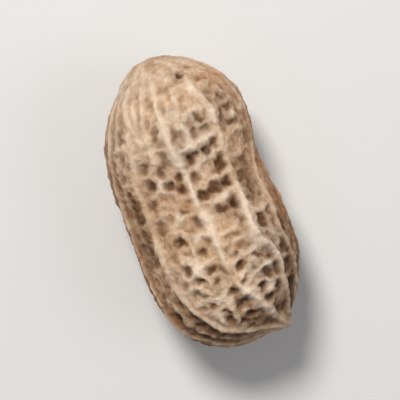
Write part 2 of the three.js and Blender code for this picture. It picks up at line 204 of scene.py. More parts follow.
# The rib over the right of the waist swells into a thick pale cord.
CORDS = [
    (0.30, 0.92, [(6.9, 29.2), (6.8, 31.0), (6.9, 33.0), (6.9, 35.0), (7.1, 37.0), (8.4, 38.8)]),
    (0.14, 0.70, [(-4.2, 10.4), (-4.0, 12.6), (-3.8, 14.4), (-3.4, 16.4), (-3.3, 18.4), (-3.0, 20.4)]),
    (0.14, 0.66, [(-1.1, 31.7), (-0.7, 33.6), (-0.5, 36.0), (0.1, 38.4)]),
    (0.10, 0.60, [(9.9, 39.4), (10.4, 42.0), (10.3, 45.0), (9.9, 48.0)]),
    (0.11, 0.66, [(-2.9, 20.4), (-2.6, 23.0), (-2.2, 26.0), (-1.9, 28.8)]),
    (0.24, 0.95, [(2.6, 46.2), (3.6, 47.8), (4.7, 49.4), (6.0, 51.6), (7.4, 53.6)]),
]
# Stained hollows that run lengthwise: depth, half-width, dark, then the course.
GROOVES = [
    (0.26, 1.00, 0.56, [(-13.6, 24.0), (-13.5, 27.0), (-13.3, 30.0), (-13.3, 33.0), (-13.1, 36.0), (-13.0, 39.5)]),
    (0.18, 0.58, 0.24, [(-13.0, 39.5), (-12.4, 43.0), (-11.4, 47.0), (-10.4, 49.4)]),
    (0.18, 0.60, 0.26, [(-10.9, 42.6), (-10.2, 45.4), (-9.2, 47.6), (-7.2, 50.4), (-4.9, 52.9), (-2.4, 54.7), (1.2, 55.5)]),
    (0.20, 0.60, 0.36, [(-9.6, 51.2), (-7.0, 53.4), (-4.4, 55.0), (-1.4, 55.8)]),
    (0.12, 1.15, 0.50, [(8.4, 21.0), (8.6, 24.0), (8.5, 26.4), (8.7, 28.4), (8.9, 30.6)]),
    (0.22, 0.70, 0.40, [(9.3, 32.6), (9.4, 34.6), (9.3, 36.2)]),
    (0.16, 0.70, 0.26, [(12.4, 33.0), (12.4, 36.0), (12.2, 39.4), (12.3, 43.0), (11.8, 47.0), (11.0, 50.4)]),
]
# Pits often run together into crooked troughs: depth, half-width, dark, then the course.
TROUGHS = [
    (0.20, 0.40, 0.42, [(-1.9, 19.6), (-0.9, 20.1), (0.2, 19.3), (1.4, 18.8), (2.6, 18.9), (3.6, 18.5), (4.3, 17.5)]),
    (0.18, 0.42, 0.55, [(3.2, 21.4), (4.2, 21.5), (5.2, 22.0), (5.6, 23.2)]),
    (0.20, 0.40, 0.48, [(-0.2, 27.6), (0.6, 26.7), (1.8, 26.1), (3.2, 26.1), (4.6, 26.0), (5.9, 25.3)]),
    (0.18, 0.42, 0.74, [(5.0, 28.8), (5.0, 30.2), (3.8, 30.6), (2.4, 30.8), (1.4, 30.4)]),
    (0.10, 0.40, 0.30, [(5.5, 30.5), (5.6, 32.4), (5.1, 34.4)]),
    (0.18, 0.38, 0.42, [(-4.8, 18.2), (-5.8, 19.4), (-6.8, 21.0), (-6.2, 22.8), (-5.6, 23.8), (-4.4, 24.8), (-3.3, 25.5)]),
    (0.18, 0.40, 0.76, [(-3.1, 30.9), (-2.9, 32.0), (-2.2, 33.3)]),
    (0.16, 0.38, 0.38, [(-2.0, 35.2), (-1.9, 36.4), (-3.2, 37.4), (-4.0, 37.5)]),
    (0.14, 0.38, 0.38, [(-8.2, 34.2), (-7.2, 34.8), (-6.0, 34.4)]),
    (0.24, 0.44, 0.72, [(-0.6, 45.6), (0.3, 46.5), (1.0, 47.6), (1.9, 48.8), (2.9, 49.8)]),
    (0.16, 0.34, 0.34, [(1.8, 42.0), (3.4, 41.9), (4.8, 42.2), (5.6, 43.0)]),
    (0.16, 0.32, 0.26, [(8.6, 40.2), (9.1, 41.4), (8.8, 42.6)]),
    (0.20, 0.40, 0.46, [(-1.2, 49.2), (-1.4, 51.0), (-1.5, 52.6)]),
    (0.20, 0.38, 0.40, [(0.3, 52.9), (1.2, 51.8), (2.6, 50.9), (4.0, 50.9), (4.9, 52.0), (5.6, 53.4)]),
    (0.20, 0.34, 0.46, [(6.0, 46.0), (5.8, 47.4), (6.5, 49.2), (7.4, 49.6)]),
    (0.18, 0.32, 0.46, [(8.6, 46.4), (9.2, 47.8), (8.6, 49.0)]),
    (0.20, 0.36, 0.55, [(7.5, 50.8), (7.9, 52.2)]),
    (0.22, 0.52, 0.60, [(12.3, 44.4), (11.8, 46.4), (11.3, 48.2), (10.4, 50.6), (9.6, 53.0)]),
    (0.14, 0.36, 0.34, [(-7.6, 39.4), (-7.0, 40.8), (-6.2, 41.6)]),
    (0.18, 0.36, 0.42, [(-3.2, 41.1), (-2.2, 41.4), (-0.8, 40.9)]),
    (0.14, 0.34, 0.32, [(-7.4, 44.4), (-6.2, 45.2), (-5.0, 46.2), (-4.4, 47.8), (-4.0, 48.8)]),
    (0.16, 0.34, 0.34, [(-5.7, 42.4), (-4.9, 43.4)]),
    (0.13, 0.40, 0.40, [(8.4, 9.4), (7.8, 10.8), (7.3, 12.2), (7.3, 13.6), (8.0, 14.8), (9.3, 15.1)]),
    (0.15, 0.42, 0.32, [(4.6, 12.4), (3.2, 12.9), (1.8, 13.6), (1.1, 15.2)]),
    (0.10, 0.38, 0.26, [(2.2, 15.2), (3.4, 14.6), (4.8, 14.4)]),
    (0.12, 0.48, 0.34, [(-2.8, 6.6), (-1.5, 6.3), (-0.3, 6.2)]),
    (0.10, 0.36, 0.24, [(-5.5, 6.0), (-5.6, 8.0), (-5.3, 10.0)]),
    (0.10, 0.36, 0.24, [(-7.6, 7.2), (-8.2, 9.4), (-8.3, 11.0)]),
    (0.10, 0.36, 0.26, [(-10.6, 8.4), (-11.2, 10.4), (-11.4, 12.6)]),
    (0.10, 0.34, 0.22, [(-3.8, 9.4), (-3.4, 11.0), (-3.0, 12.4)]),
    (0.12, 0.40, 0.30, [(-2.3, 13.4), (-2.1, 15.0), (-2.4, 16.4)]),
    (0.08, 0.40, 0.22, [(5.4, 7.4), (5.6, 9.0), (6.4, 10.2)]),
    (0.12, 0.34, 0.26, [(-10.2, 9.0), (-9.4, 11.6), (-9.8, 14.0)]),
    (0.14, 0.36, 0.30, [(-5.6, 11.4), (-5.8, 13.4), (-6.6, 15.4), (-8.2, 16.0)]),
    (0.14, 0.36, 0.34, [(-13.0, 11.2), (-12.7, 12.6), (-12.4, 14.2)]),
    (0.14, 0.42, 0.36, [(-14.4, 14.8), (-14.0, 16.6), (-13.6, 18.2)]),
    (0.16, 0.40, 0.52, [(12.6, 35.6), (12.9, 36.8), (12.7, 38.2)]),
]
INSECT_DOT = (1.55, 4.35)
# Places where a rib is worn low: across, along, reach in mm.
WORN = [(5.8, 14.5, 0.60), (6.5, 25.0, 0.75), (-1.7, 30.1, 0.42), (-0.9, 33.3, 0.36), (1.2, 43.0, 0.30)]

rng = np.random.default_rng(20)


# ------------------------------------------------------------------- helpers
def along(table, u):
    """Catmull-Rom curve through evenly spaced values, for u from 0 to 1."""
    t = np.asarray(table, float)
    s = np.clip(np.asarray(u, float), 0, 1) * (len(t) - 1)
    i = np.minimum(s.astype(int), len(t) - 2)
    f = s - i
    t = np.concatenate([[2 * t[0] - t[1]], t, [2 * t[-1] - t[-2]]])
    p0, p1, p2, p3 = t[i], t[i + 1], t[i + 2], t[i + 3]
    return 0.5 * (2 * p1 + (p2 - p0) * f + (2 * p0 - 5 * p1 + 4 * p2 - p3) * f**2 + (3 * p1 - p0 - 3 * p2 + p3) * f**3)


def ease(a, b, x):
    u = np.clip((x - a) / (b - a), 0, 1)
    return u * u * (3 - 2 * u)


def body(p):
    """Unit sphere to smooth pod."""
    u = (1 + p[..., 0]) / 2
    return np.stack([
        LENGTH * u,
        along(CENTRE_Y, u) + along(HALF_WIDTH, u) * p[..., 1],
        along(CENTRE_Z, u) + along(HALF_HEIGHT, u) * p[..., 2],
    ], -1)


def on_top(x, y):
    """The sphere point of the pod's upper side over (x, y)."""
    u = np.clip(np.asarray(x, float) / LENGTH, 0.004, 0.996)
    px = 2 * u - 1
    r = np.sqrt(1 - px * px) * 0.995
    py = np.clip((y - along(CENTRE_Y, u)) / along(HALF_WIDTH, u), -r, r)
    return np.stack([px, py, np.sqrt(np.maximum(1 - px * px - py * py, 0))], -1)


def turning(start, end):
    axis = np.cross(start, end)
    s = np.linalg.norm(axis)
    return axis / s, math.atan2(s, float(start @ end))


STEM_AXIS, STEM_ANGLE = turning(np.array([-1.0, 0, 0]), STEM_POLE)
BEAK_AXIS, BEAK_ANGLE = turning(np.array([1.0, 0, 0]), BEAK_POLE)


def turned(v, axis, angle):
    c, s = np.cos(angle)[..., None], np.sin(angle)[..., None]
    return v * c + np.cross(axis, v) * s + axis * (v @ axis)[..., None] * (1 - c)


def sphere_of(t, a):
    """Pattern place (0 stem scar to 1 beak, angle round) to sphere."""
    b = math.pi * t
    q = np.stack([-np.cos(b), np.sin(b) * np.cos(a), np.sin(b) * np.sin(a)], -1)
    q = turned(q, STEM_AXIS, STEM_ANGLE * (1 - ease(0, 0.55, t)))
    return turned(q, BEAK_AXIS, BEAK_ANGLE * ease(0.4, 1, t))


def pattern_of(p):
    t = np.arccos(np.clip(-p[..., 0], -1, 1)) / math.pi
    for _ in range(14):
        q = turned(p, BEAK_AXIS, -BEAK_ANGLE * ease(0.4, 1, t))
        q = turned(q, STEM_AXIS, -STEM_ANGLE * (1 - ease(0, 0.55, t)))
        t = 0.5 * t + 0.5 * np.arccos(np.clip(-q[..., 0], -1, 1)) / math.pi
    return t, np.arctan2(q[..., 2], q[..., 1])


def lattice(ix, iy, iz, seed):
    h = (ix.astype(np.uint32) * np.uint32(374761393) + iy.astype(np.uint32) * np.uint32(668265263)
         + iz.astype(np.uint32) * np.uint32(2246822519) + np.uint32(seed * 974711 + 12345))
    h = (h ^ (h >> np.uint32(13))) * np.uint32(1274126177)
    h = (h ^ (h >> np.uint32(16))) * np.uint32(2654435761)
    return h ^ (h >> np.uint32(15))


def noise(p, seed):
    """Smooth gradient noise, about -1 to 1, with a period of about 1."""
    base = np.floor(p).astype(np.int64)
    f = p - base
    w = f * f * f * (f * (f * 6 - 15) + 10)
    total = np.zeros(len(p))
    for dx in (0, 1):
        for dy in (0, 1):
            for dz in (0, 1):
                h = lattice(base[:, 0] + dx, base[:, 1] + dy, base[:, 2] + dz, seed)
                gx = (h & np.uint32(1023)).astype(float) / 511.5 - 1
                gy = ((h >> np.uint32(10)) & np.uint32(1023)).astype(float) / 511.5 - 1
                gz = ((h >> np.uint32(20)) & np.uint32(1023)).astype(float) / 511.5 - 1
                dot = gx * (f[:, 0] - dx) + gy * (f[:, 1] - dy) + gz * (f[:, 2] - dz)
                wx = w[:, 0] if dx else 1 - w[:, 0]
                wy = w[:, 1] if dy else 1 - w[:, 1]
                wz = w[:, 2] if dz else 1 - w[:, 2]
                total += dot * wx * wy * wz
    return total * 1.6


def cloud(p, seed, octaves=3):
    out, size = np.zeros(len(p)), 1.0
    for k in range(octaves):
        out += size * noise(p * 2.0**k + 17.3 * k, seed + k)
        size *= 0.5
    return out


# ----------------------------------------------------------------- the grid
def cube_sphere(n_along, n_around):
    """Sphere points, quads, and each quad corner's place on a flat map."""
    nx, nr = n_along, n_around
    charts = []
    i, j = np.meshgrid(np.arange(nx + 1), np.arange(nr + 1), indexing="ij")
    full = np.full_like(i, nr)
    none = np.zeros_like(i)
    # (lattice x, y, z) for each chart, laid so that the faces point out
    charts.append((i, full, nr - j))  # +Y
    charts.append((i, j, full))  # +Z
    charts.append((i, none, j))  # -Y
    charts.append((i, nr - j, none))  # -Z
    k, m = np.meshgrid(np.arange(nr + 1), np.arange(nr + 1), indexing="ij")
    charts.append((np.full_like(k, nx), k, m))  # +X
    charts.append((np.zeros_like(k), nr - k, m))  # -X
    keys, quads, places = [], [], []
    start = 0
    # The flat map: four side charts in two rows of two, and the two caps under them.
    gap = 3.0
    cell_x, cell_r = 23.5 / nx, 13.0 / nr
    side = 2 * 23.5 + 3 * 0.4
    corners = [(0.4, 0.4), (0.4 + 23.9, 0.4), (0.4, 13.8), (0.4 + 23.9, 13.8), (0.4, 27.2), (13.8, 27.2)]
    for c, (x, y, z) in enumerate(charts):
        rows, cols = x.shape
        keys.append(np.stack([x.ravel(), y.ravel(), z.ravel()], 1))
        index = start + np.arange(rows * cols).reshape(rows, cols)
        quads.append(np.stack([index[:-1, :-1], index[1:, :-1], index[1:, 1:], index[:-1, 1:]], -1).reshape(-1, 4))
        sx = cell_x if c < 4 else cell_r
        a, b = np.meshgrid(np.arange(rows) * sx, np.arange(cols) * cell_r, indexing="ij")
        place = np.stack([(corners[c][0] + a) / side, (corners[c][1] + b) / side], -1)
        places.append(np.stack([place[:-1, :-1], place[1:, :-1], place[1:, 1:], place[:-1, 1:]], -2).reshape(-1, 4, 2))
        start += rows * cols
    keys, quads, places = np.concatenate(keys), np.concatenate(quads), np.concatenate(places)
    found, back = np.unique(keys @ np.array([1, 10000, 100000000]), return_inverse=True)
    unique = np.stack([found % 10000, found // 10000 % 10000, found // 100000000], 1)
    quads = back.ravel()[quads]
    cube = 2.0 * unique / np.array([nx, nr, nr]) - 1
    p = np.tan(cube * math.pi / 4)
    p /= np.linalg.norm(p, axis=1)[:, None]
    return p, quads, places


def vertex_normals(co, quads):
    a, b, c, d = (co[quads[:, k]] for k in range(4))
    n = np.cross(c - a, d - b)
    out = np.zeros_like(co)
    for k in range(4):
        for axis in range(3):
            out[:, axis] += np.bincount(quads[:, k], n[:, axis], len(co))
    return out / np.maximum(np.linalg.norm(out, axis=1), 1e-12)[:, None]


sphere, quads, flat = cube_sphere(ALONG, AROUND)
co = body(sphere)
out_n = vertex_normals(co, quads)
if ((co - co.mean(0)) * out_n).sum() < 0:  # faces that point in are turned round
    quads, flat = quads[:, ::-1], flat[:, ::-1]
    out_n = -out_n

# The relief of the upper side is laid out as it looks from the camera, which stands
# EYE mm over the rest plane, so that what is nearer the eye looks a little wider.
EYE = 173.8
SIDE = 7.7  # the height of the outline
eye = (co.min(0) + co.max(0)) / 2
larger = np.where(co[:, 2] > SIDE, (EYE - SIDE) / (EYE - co[:, 2]), 1.0)
above = (sphere[:, 2] > 0.02) & (larger > 1.0)
inset = ease(3.6, 9.5, co[:, 0]) * ease(0.0, 2.5, LENGTH - co[:, 0])  # the traced places sit this much too near the stem end
shown = on_top(eye[0] + (co[:, 0] - eye[0]) * larger - 0.37 * inset, eye[1] + (co[:, 1] - eye[1]) * larger - 0.07 * inset)
seen = np.where(above[:, None], shown, sphere)
blend = ease(0.02, 0.30, sphere[:, 2])[:, None]
seen = sphere * (1 - blend) + seen * blend
seen /= np.linalg.norm(seen, axis=1)[:, None]
seen_co = body(seen)
t, a = pattern_of(seen)
step = 1e-3
round_mm = np.linalg.norm(body(sphere_of(t, a + step)) - body(sphere_of(t, a - step)), axis=1) / (2 * step)
along_mm = np.linalg.norm(body(sphere_of(np.clip(t + step, 0, 1), a)) - body(sphere_of(np.clip(t - step, 0, 1), a)), axis=1) / (2 * step)


# ---------------------------------------------------------------- main ribs
def rib_distance(table, wander=0.0, seed=0):
    """How far each vertex is from a rib's centre line, in mm."""
    at = along(table, t)
    slope = (along(table, t + 0.01) - along(table, t - 0.01)) * math.pi / 180 / 0.02
    if wander:
        at = at + wander * noise(np.stack([t * 14, np.full_like(t, seed * 3.7), np.full_like(t, seed * 1.3)], 1), seed)
    off = a - np.radians(at)
    off -= 2 * math.pi * np.round(off / (2 * math.pi))
    return np.abs(off) * round_mm / np.sqrt(1 + (slope * round_mm / np.maximum(along_mm, 1)) ** 2)


def line_noise(k, length, seed):
    """Noise along a rib, with a period of about length mm."""
    return noise(np.stack([co[:, 0] / length, np.full(len(co), k * 5.17), np.full(len(co), k * 2.31)], 1), seed)


side = 0.16 * noise(co / 1.9 + 31.0, 35) + 0.14 * noise(co / 0.75 + 11.0, 36) + 0.06 * noise(co / 0.42 + 13.0, 37)  # the ribs aren't ruled lines
ends = ease(0.02, 0.14, t)
rib = np.zeros(len(co))
rib_near = np.full(len(co), 9.0)
for k, (name, table, height, width) in enumerate(RIBS):
    d = np.abs(rib_distance(table, 1.2 if len(table) > 11 else 2.6, k) + side)
    vary = 1 + 0.55 * line_noise(k, 3.1, 40) + 0.45 * line_noise(k, 1.0, 50)
    wide = width * (1 + 0.30 * line_noise(k, 2.0, 60))
    if name == "left_top":  # low and broad over the middle of the pod
        soft = 0.40 + 0.16 * ease(0.10, 0.40, t) + 0.34 * ease(0.62, 0.80, t)
        wide = wide * (1.35 - 0.25 * ease(0.62, 0.80, t))
    elif name == "right_top":  # so is this one as far as the waist
        soft = 0.40 + 0.25 * ease(0.10, 0.30, t) + 0.35 * ease(0.48, 0.56, t)
        wide = wide * (1.30 - 0.25 * ease(0.48, 0.56, t))
    else:
        soft = 0.45 + 0.55 * ease(0.08, 0.36, t)
    wide = wide * (1 + 0.22 * noise(co / 0.9 + 7.0 * k, 62))
    rib = np.maximum(rib, height * vary * soft * np.exp(-np.abs(d / wide) ** 1.9))
    rib_near = np.minimum(rib_near, d)
for k, (table, first, last, height, width) in enumerate(SHORT_RIBS):
    d = np.abs(rib_distance(table, 1.4, 20 + k) + 1.3 * side)
    keep = ease(first - 0.04, first + 0.04, t) * (1 - ease(last - 0.05, last + 0.05, t))
    vary = np.maximum(0.9 + 0.7 * line_noise(k + 20, 2.4, 80), 0)
    rib = np.maximum(rib, height * vary * keep * np.exp(-np.abs(d / width) ** 1.9))
rib *= ends


def place(points):
    """Points of the body's upper side from (across, along) steps."""
    points = np.asarray(points, float)
    return body(on_top((points[:, 1] + 0.39) * STEP, points[:, 0] * STEP))


def traced(rows, spacing=0.12):
    """Distance to the nearest of some traced lines, and that line's row and how far along it."""
    where, row_of, part = [], [], []
    for r, row in enumerate(rows):
        points = np.asarray(row[-1], float)
        n = max(int(np.linalg.norm(np.diff(points, axis=0), axis=1).sum() * STEP / spacing), 4)
        f = np.linspace(0, 1, n)
        where.append(place(np.stack([along(points[:, 0], f), along(points[:, 1], f)], 1)))
        row_of.append(np.full(n, r))
        part.append(f)
    where, row_of, part = np.concatenate(where), np.concatenate(row_of), np.concatenate(part)
    tree = KDTree(len(where))
    for i, c in enumerate(where):
        tree.insert(c, i)
    tree.balance()
    index, gap = np.empty(len(co), int), np.empty(len(co))
    for i, c in enumerate(looked):
        _, index[i], gap[i] = tree.find(c)
    return gap, row_of[index], part[index]


# Nothing runs straight: traced places are looked up at a slightly shifted point.
warp = np.stack([cloud(co / 2.3 + 5.0, 101, 2), cloud(co / 2.3 + 25.0, 111, 2), cloud(co / 2.3 + 45.0, 121, 2)], 1) * 0.20
warp += np.stack([noise(co / 0.8, 131), noise(co / 0.8, 132), noise(co / 0.8, 133)], 1) * 0.27
warp += np.stack([noise(co / 0.42, 134), noise(co / 0.42, 135), noise(co / 0.42, 136)], 1) * 0.12
looked = seen_co + warp

cross = np.zeros(len(co))
for rows, power in ((VEINS, 1.8), (CORDS, 2.4)):
    gap, row_of, part = traced(rows)
    tall = np.array([r[0] for r in rows])[row_of]
    broad = np.array([r[1] for r in rows])[row_of]
    taper = 0.35 + 0.65 * ease(0, 0.16, part) * (1 - ease(0.84, 1, part))
    shape = 0.85 * tall * taper * (1 + 0.35 * noise(co / 1.3 + 61.0, 65)) * np.exp(-(gap / broad) ** power)
    cross = np.maximum(cross, shape) if power < 2 else cross
    if power > 2:
        rib = rib + shape
    else:
        cross_near = gap
for w, l, reach in WORN:
    gap = np.linalg.norm(looked - place([(w, l)])[0], axis=1)
    rib = rib * (1 - 0.75 * np.exp(-(gap / reach) ** 2))
gap, row_of, part = traced(GROOVES, 0.2)
taper = ease(0, 0.12, part) * (1 - ease(0.88, 1, part))
groove = np.array([r[0] for r in GROOVES])[row_of] * taper * np.exp(-(gap / np.array([r[1] for r in GROOVES])[row_of]) ** 2.2)
groove_dark = np.array([r[2] for r in GROOVES])[row_of] * taper * np.exp(-(gap / (1.05 * np.array([r[1] for r in GROOVES])[row_of])) ** 2.2)
gap, row_of, part = traced(TROUGHS)
depth, half_wide, shade = (np.array([r[k] for r in TROUGHS])[row_of] for k in range(3))
taper = (0.25 + 0.75 * ease(0, 0.18, part) * (1 - ease(0.82, 1, part))) * (1 + 0.45 * noise(co / 1.0 + 91.0, 95))
groove = np.maximum(groove, depth * taper * np.exp(-(gap / half_wide) ** 2.0))
groove_dark = 1 - (1 - groove_dark) * (1 - np.clip(0.78 * shade * taper, 0, 0.9) * np.exp(-(gap / (1.1 * half_wide)) ** 2.0))

# ---------------------------------------------------------------- net of pits
pit_rows = np.array(PITS, float)
pit_sphere = on_top((pit_rows[:, 1] + 0.39) * STEP, pit_rows[:, 0] * STEP)
site_co = [body(pit_sphere)]
site_half = [pit_rows[:, 2:4] * STEP * 1.28]
site_turn = [np.radians(pit_rows[:, 4])]
site_depth = [pit_rows[:, 5]]
site_dark = [pit_rows[:, 6]]

# The rest of the shell is filled with pits of the same kind, none too near another.
tries = rng.normal(size=(9000, 3))
tries /= np.linalg.norm(tries, axis=1)[:, None]
tries_co = body(tries)
tries_t, tries_a = pattern_of(tries)
tries_round = np.linalg.norm(body(sphere_of(tries_t, tries_a + step)) - body(sphere_of(tries_t, tries_a - step)), axis=1) / (2 * step)
tries_rib = np.full(len(tries), 9.0)
for name, table, height, width in RIBS:
    off = tries_a - np.radians(along(table, tries_t))
    off -= 2 * math.pi * np.round(off / (2 * math.pi))
    tries_rib = np.minimum(tries_rib, np.abs(off) * tries_round)
dice = rng.random((len(tries), 5))
kept_co, kept = list(site_co[0]), []
kept_room = list(np.sqrt(site_half[0].prod(1)))
for i in range(len(tries)):
    room = 0.50 + 0.32 * dice[i, 0]
    if tries_t[i] < 0.07 or tries_t[i] > 0.955 or tries_rib[i] < 0.45:
        continue
    gap = np.linalg.norm(np.array(kept_co) - tries_co[i], axis=1) - np.array(kept_room) - room
    if gap.min() < -0.08:
        continue
    kept.append(i)
    kept_co.append(tries_co[i])
    kept_room.append(room)
kept = np.array(kept)
room = 0.50 + 0.32 * dice[kept, 0]
long = 0.9 + 1.1 * dice[kept, 1]
site_co.append(tries_co[kept])
site_half.append(np.stack([room / np.sqrt(long), room * np.sqrt(long)], 1) * 1.34)
site_turn.append((dice[kept, 2] - 0.5) * 0.8)
hidden = ease(-0.05, -0.45, tries[kept, 2])
bare = 0.45 + 0.55 * ease(0.10, 0.34, tries_t[kept])  # the stem end is smoother
busy = ease(0.60, 0.70, tries_t[kept])  # and the beak end the more deeply pitted
site_depth.append(((0.09 + 0.13 * dice[kept, 3] + 0.06 * busy) * (1 - hidden) + (0.16 + 0.20 * dice[kept, 3]) * hidden) * bare)
site_dark.append(((0.05 + 0.25 * dice[kept, 4] + 0.34 * busy * dice[kept, 3]) * (1 - hidden) + (0.15 + 0.60 * dice[kept, 4] ** 1.5) * hidden) * bare)
site_co = np.concatenate(site_co)
site_half = np.concatenate(site_half)
site_turn = np.concatenate(site_turn)
site_depth = np.concatenate(site_depth)
site_dark = np.concatenate(site_dark)
print("sites", len(pit_rows), len(site_co))

# Each pit's own frame: outwards, along the pod and across it.
u_site = site_co[:, 0] / LENGTH
site_out = site_co - np.stack([site_co[:, 0], along(CENTRE_Y, u_site), along(CENTRE_Z, u_site)], 1)
site_out[:, 0] = (site_co[:, 0] - LENGTH / 2) * 0.12 * (1 + 4 * np.abs(2 * u_site - 1) ** 6)
site_out /= np.linalg.norm(site_out, axis=1)[:, None]
lengthways = np.array([1.0, 0, 0]) - site_out * site_out[:, :1]
lengthways /= np.linalg.norm(lengthways, axis=1)[:, None]
across = np.cross(site_out, lengthways)
cs, sn = np.cos(site_turn)[:, None], np.sin(site_turn)[:, None]
dir_long = lengthways * cs + across * sn
dir_wide = across * cs - lengthways * sn

first = np.empty(len(co))
second = np.empty(len(co))
which = np.empty(len(co), int)
size_of = np.sqrt(site_half.prod(1))
for s in range(0, len(co), 6000):
    d = looked[s:s + 6000, None, :] - site_co[None]
    q = ((d * dir_wide).sum(2) / site_half[:, 0]) ** 2 + ((d * dir_long).sum(2) / site_half[:, 1]) ** 2
    q += ((d * site_out).sum(2) / 1.6) ** 2
    q = np.sqrt(q)
    near = np.argpartition(q, 1, axis=1)[:, :2]
    qa = np.take_along_axis(q, near, 1)
    swap = qa[:, 0] > qa[:, 1]
    near[swap] = near[swap][:, ::-1]
    qa.sort(axis=1)
    first[s:s + 6000], second[s:s + 6000], which[s:s + 6000] = qa[:, 0], qa[:, 1], near[:, 0]

edge = (second - first) * size_of[which] / 2  # about how far the next pit's edge is, in mm
clear = ease(0.10, 0.60, rib_near) * (0.15 + 0.85 * ease(0.10, 0.55, cross_near))
fade = ease(0.03, 0.12, t) * (1 - ease(0.955, 0.99, t))
bowl = (1 - np.exp(-(edge / 0.42) ** 1.7)) * (1 - ease(0.75, 1.60, first + 0.25 * noise(co / 1.1 + 71.0, 75) + 0.22 * noise(co / 0.55 + 81.0, 76)))
flank = 1 - 0.45 * ease(0.62, 0.30, sphere[:, 2]) * ease(-0.25, 0.05, sphere[:, 2])
# Thin strands cross the pits and break them up.
strand = np.exp(-(noise(co / 1.7 + 15.0, 171) / 0.17) ** 2)
strand = np.maximum(strand, 0.8 * np.exp(-(noise(co / 1.25 + 65.0, 172) / 0.15) ** 2))
strand *= np.where(which < len(pit_rows), 0.60, 1.0) * ease(-0.30, 0.30, noise(co / 2.9 + 35.0, 173))
pit = (bowl - 0.62 * strand * bowl) * np.where(which < len(pit_rows), 0.92, 1.0) * site_depth[which] * (0.2 + 0.8 * clear) * fade * flank * (0.95 + 0.30 * noise(co / 0.6 + 85.0, 77))

# Stain: dark in the middle of a pit, soft at its rim and running on into the next.
stain = np.ones(len(co))
spots = np.flatnonzero(site_dark > 0.04)
blot = seen_co + 1.35 * warp
ragged = np.clip(1 + 0.40 * noise(co / 0.75 + 95.0, 78) + 0.30 * noise(co / 0.42 + 97.0, 79), 0.4, 1.8)
for s in range(0, len(co), 6000):
    d = blot[s:s + 6000, None, :] - site_co[None, spots]
    q = ((d * dir_wide[spots]).sum(2) / site_half[spots, 0]) ** 2 + ((d * dir_long[spots]).sum(2) / site_half[spots, 1]) ** 2
    q = (q + ((d * site_out[spots]).sum(2) / 1.6) ** 2) * ragged[s:s + 6000, None]
    stain[s:s + 6000] = (1 - np.clip(site_dark[spots] * 1.35, 0, 0.97) * np.exp(-(q / 0.84) ** 1.15)).prod(1)
dark = (1 - stain * (1 - groove_dark)) * (0.58 + 0.42 * clear) * (1 - 0.65 * strand) * fade

# veins: a soft raised line where two pits nearly meet
vein = np.exp(-(edge / 0.20) ** 2) * (1 - ease(0.9, 1.6, first)) * 0.08 * fade

# a finer, lower net inside the first
fine_n = 3300
fine = rng.normal(size=(fine_n, 3))
fine /= np.linalg.norm(fine, axis=1)[:, None]
stretch = np.array([0.72, 1.0, 1.0])
tree = KDTree(fine_n)
for i, c in enumerate(body(fine) * stretch):
    tree.insert(c, i)
tree.balance()
wobble = np.stack([noise(co / 0.9 + 3.0, 141), noise(co / 0.9 + 13.0, 142), noise(co / 0.9 + 23.0, 143)], 1) * 0.16
gap = np.empty(len(co))
for i, c in enumerate((looked + wobble) * stretch):
    near = tree.find_n(c, 2)
    gap[i] = (near[1][2] - near[0][2]) / 2
patches = 0.75 + 0.6 * noise(co / 3.3 + 7.0, 151)
net = -(1 - np.exp(-(gap / 0.13) ** 2)) * 0.100 * np.clip(patches, 0.25, 1.4) * (0.45 + 0.55 * clear) * (1.15 + 0.30 * ease(0.58, 0.70, t))

# ------------------------------------------------------- knobs, dot, the ends
knob = np.zeros(len(co))
for w, l, height, radius in KNOBS:
    c = body(on_top(np.array([(l + 0.39) * STEP]), np.array([w * STEP])))[0]
    d = np.linalg.norm(seen_co + 0.6 * warp - c, axis=1) / (radius * 1.15)
    knob = np.maximum(knob, height * np.exp(-d**2.2))

dot = body(on_top(np.array([(INSECT_DOT[1] + 0.39) * STEP]), np.array([INSECT_DOT[0] * STEP])))[0]
to_dot = np.linalg.norm((seen_co + 0.3 * warp - dot) * np.array([0.78, 1.05, 1.0]), axis=1)
dot_hole = np.exp(-(to_dot / 0.55) ** 4)

scar = body(STEM_POLE)
to_scar = np.linalg.norm(co + 0.35 * warp - scar, axis=1)
scar_shape = 0.10 * np.exp(-((to_scar - 1.05) / 0.36) ** 2) - 0.36 * np.exp(-((to_scar / 0.75) ** 2.5))
scar_shape += 0.10 * np.exp(-((to_scar / 0.28) ** 2))
scar_dark = np.exp(-((to_scar / 0.8) ** 3))

tip = body(BEAK_POLE)
to_tip = np.linalg.norm(co - tip, axis=1)
beak = 0.95 * np.exp(-(to_tip / 1.35) ** 1.7)

# --------------------------------------------------------------- finer relief
# Seeds push the lobes out unevenly, and the paper between them sags.
lumps = 0.16 * cloud(co / 6.5, 201, 2) + 0.05 * noise(co / 2.6, 211)
along_co = co * np.array([0.22, 1.0, 1.0])
fibre = 0.024 * noise(along_co / 0.36 + 9.0, 221) + 0.014 * noise(co * np.array([0.35, 1, 1]) / 0.22, 231)
grain = 0.018 * noise(co / 0.28, 241)
rough = 0.052 * noise(co / 0.55, 251)
uneven = 0.75 + 0.5 * noise(co / 4.1 + 51.0, 261)
beads = (0.115 * noise(co / 0.95 + 33.0, 262) + 0.095 * noise(co / 0.58 + 43.0, 263)) * np.clip(uneven, 0.3, 1.2) * (0.76 + 0.24 * ease(0.12, 0.34, t) + 0.32 * ease(0.58, 0.70, t)) * fade

